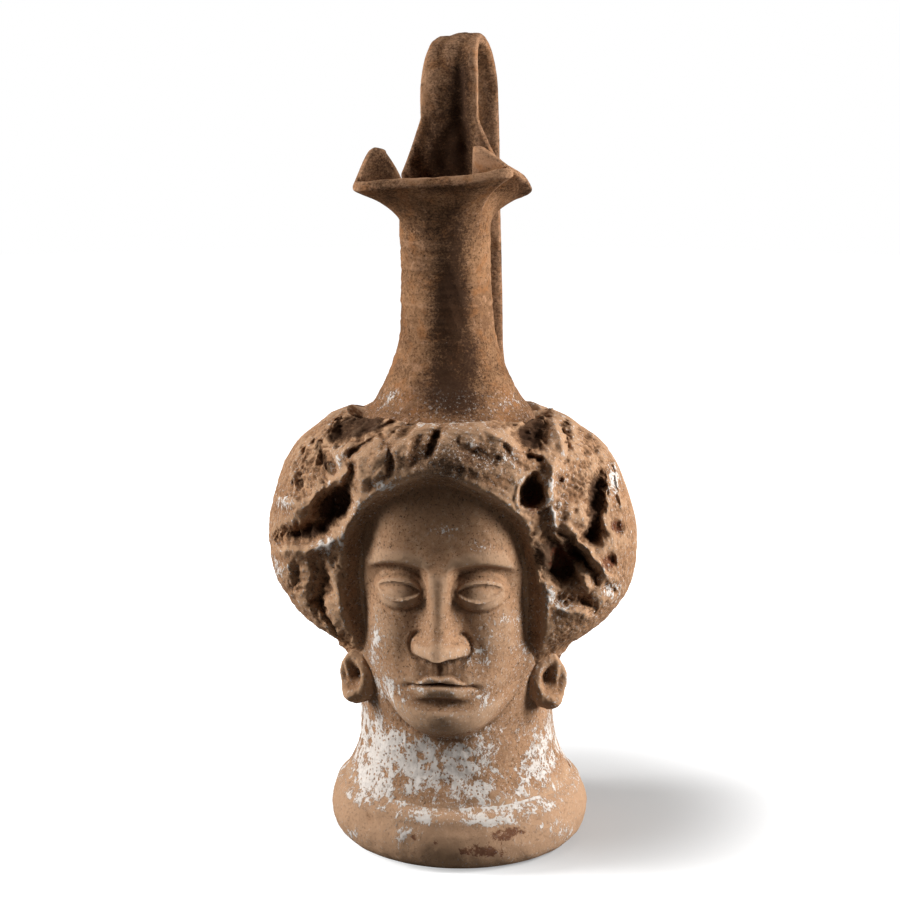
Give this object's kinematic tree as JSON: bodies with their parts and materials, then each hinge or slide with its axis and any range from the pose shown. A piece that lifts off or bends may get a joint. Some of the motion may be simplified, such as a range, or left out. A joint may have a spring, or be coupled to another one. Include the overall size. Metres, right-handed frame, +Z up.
{
  "type": "greek head vase",
  "caption": "Fired clay jug shaped as a head with a calm face and thick wavy hair, a tall pouring neck with a pinched lobed mouth, a high strap handle and a rolled round foot.",
  "frame": {"origin": "centre of the flat underside of the foot, where the vase stands", "axes": "+Z up, the face looks along -Y, +X is to the right of someone who looks at the face"},
  "size_m": [0.1243, 0.1038, 0.2701],
  "materials": {
    "bare_clay": "unglazed fired clay, matte, with worn white slip",
    "dark_clay": "unglazed fired clay, darkened and mottled, low sheen",
    "whitened_clay": "unglazed fired clay under worn white slip, matte"
  },
  "bodies": {
    "root": {"foot_ring": "whitened_clay", "floor_disc": "bare_clay", "front_half": "bare_clay", "rear_half": "bare_clay", "brow_roll": "bare_clay", "left_hair_wing": "bare_clay", "right_hair_wing": "bare_clay", "left_ear": "bare_clay", "right_ear": "bare_clay", "pouring_neck": "dark_clay", "strap_handle": "dark_clay"}
  },
  "joints": []
}
